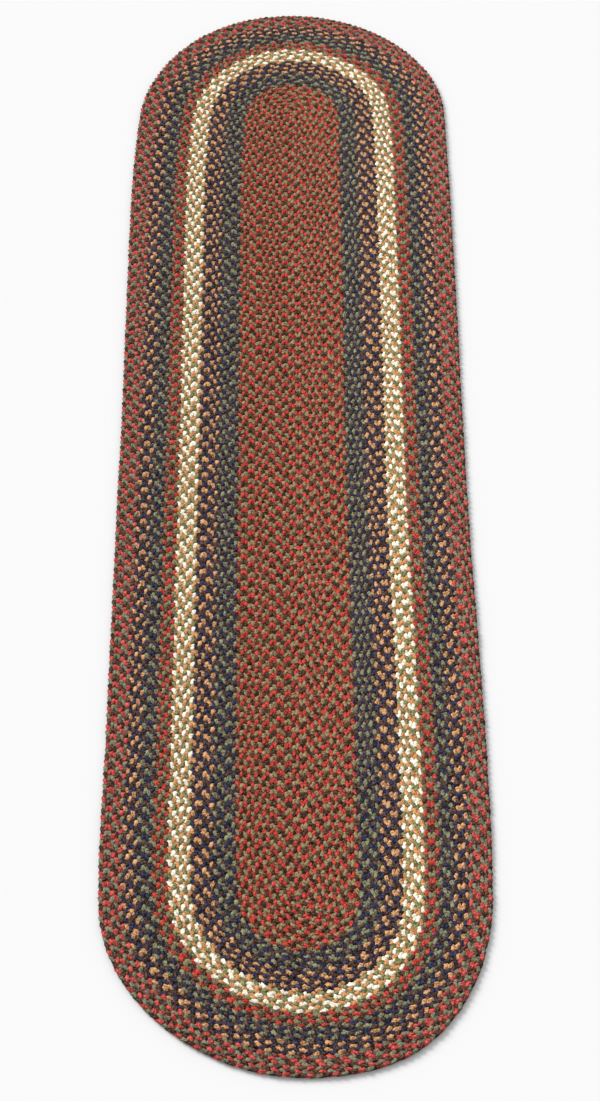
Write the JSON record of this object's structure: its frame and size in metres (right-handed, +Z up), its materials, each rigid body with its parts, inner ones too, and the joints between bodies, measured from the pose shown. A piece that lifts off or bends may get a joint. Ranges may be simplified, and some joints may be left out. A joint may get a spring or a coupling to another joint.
{
  "type": "braided oval runner rug",
  "caption": "Long flat oval rug of flat three-strand braid, sewn lap by lap in bands of red, sage, tan, navy, brown and cream.",
  "frame": {"origin": "on the floor, under the middle of the rug's outline", "axes": "+X across the rug, +Y along it to the far end in the picture, +Z up out of its walking face"},
  "size_m": [0.6098, 2.4376, 0.008],
  "materials": {
    "red_braid": "coarse three-strand braid of red, sage and dark brown jute yarn",
    "sage_braid": "coarse three-strand braid of sage, navy and dark brown jute yarn",
    "tan_braid": "coarse three-strand braid of tan, navy and dark brown jute yarn",
    "cream_braid": "coarse three-strand braid of cream, tan and green jute yarn"
  },
  "bodies": {
    "root": {"centre_field": "red_braid", "inner_sage_band": "sage_braid", "inner_tan_band": "tan_braid", "cream_band": "cream_braid", "inner_red_band": "red_braid", "outer_sage_band": "sage_braid", "outer_tan_band": "tan_braid", "outer_red_band": "red_braid"}
  },
  "joints": []
}
